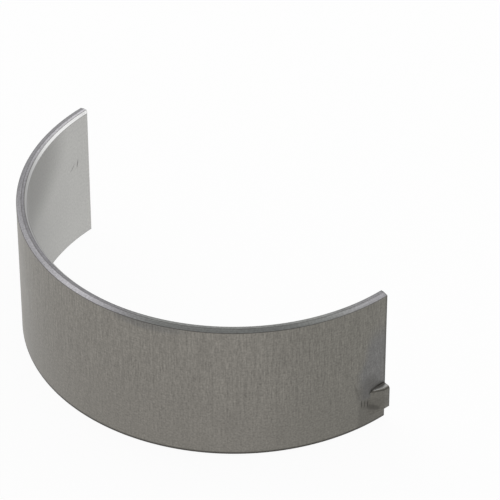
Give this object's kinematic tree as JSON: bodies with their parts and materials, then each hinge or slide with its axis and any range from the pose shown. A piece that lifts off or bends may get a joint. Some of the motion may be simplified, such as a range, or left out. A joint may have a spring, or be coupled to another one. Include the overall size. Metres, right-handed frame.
{
  "type": "engine bearing shell",
  "caption": "Plain half shell of a connecting-rod bearing: a bent steel strip with chamfered edges and a nicked locating lug at one parting edge.",
  "frame": {"origin": "middle of the shell's own box, on the lower side face that it stands on; the bore's axis is vertical through x -0.455 mm, y +14.966 mm", "axes": "+Z along the bore; the crown of the back faces -Y and the two parting faces look towards +Y; +X is the end with the locating lug, which is near the foot"},
  "size_m": [0.0588, 0.0279, 0.0206],
  "materials": {
    "bearing_steel": "satin, dulled by handling"
  },
  "bodies": {
    "root": {"bearing_shell": "bearing_steel"}
  },
  "joints": []
}
